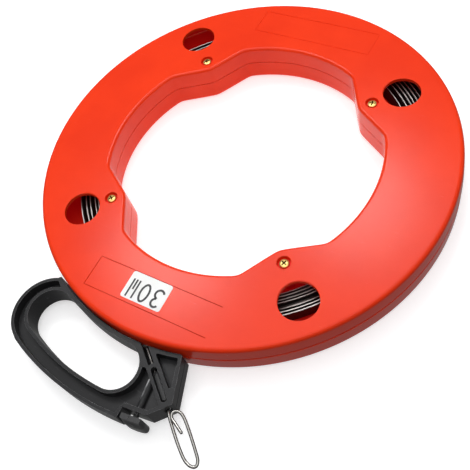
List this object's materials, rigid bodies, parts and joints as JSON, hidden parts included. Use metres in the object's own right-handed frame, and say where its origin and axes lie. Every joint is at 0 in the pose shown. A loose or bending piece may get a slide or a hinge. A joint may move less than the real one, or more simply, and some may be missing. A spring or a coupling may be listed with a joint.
{
  "type": "fish tape reel",
  "caption": "Ring-shaped case that holds a coil of flat steel tape, with a grip round its rim, a push-button tape brake and a wire pull hook.",
  "frame": {"origin": "middle of the whole object's box, on the plane that the back cover rests on", "axes": "+Z is the case axis, from the back cover to the front cover; the grip is on the -Y side and the tape leaves it towards +X and -Y"},
  "size_m": [0.3, 0.3514, 0.0296],
  "materials": {
    "case_red": "satin moulded plastic",
    "grip_black": "satin moulded plastic",
    "tape_steel": "bright spring steel",
    "screw_brass": "yellow zinc plated steel",
    "label_white": "printed film",
    "pad_rubber": "matt"
  },
  "bodies": {
    "case": {"back_cover": "case_red", "front_cover": "case_red", "case_screw_1": "screw_brass", "case_screw_2": "screw_brass", "case_screw_3": "screw_brass", "case_screw_4": "screw_brass", "tape_coil": "tape_steel", "tape_anchor": "tape_steel", "anchor_rivet": "tape_steel", "length_label": "label_white"},
    "handle": {"grip": "grip_black", "brake_spring": "tape_steel", "tape_lead": "tape_steel"},
    "pull_end": {"tape_end": "tape_steel", "tape_ferrule": "grip_black", "pull_hook": "tape_steel"},
    "brake": {"brake_button": "grip_black", "brake_rod": "tape_steel", "brake_pad": "pad_rubber", "rod_clip": "tape_steel"}
  },
  "joints": [
    {"name": "case_turn", "type": "hinge", "parent": "case", "child": "handle", "pos_m": [0, 0.0258, 0.0152], "axis": [0, 0, 1], "continuous": true},
    {"name": "tape_pull", "type": "slide", "parent": "handle", "child": "pull_end", "axis": [0.7705, -0.6374, 0], "range_m": [0, 0.03]},
    {"name": "brake_press", "type": "slide", "parent": "handle", "child": "brake", "axis": [-0.1305, 0.9914, 0], "range_m": [0, 0.0024], "stiffness_N_per_m": 800, "springref_m": -0.001}
  ]
}
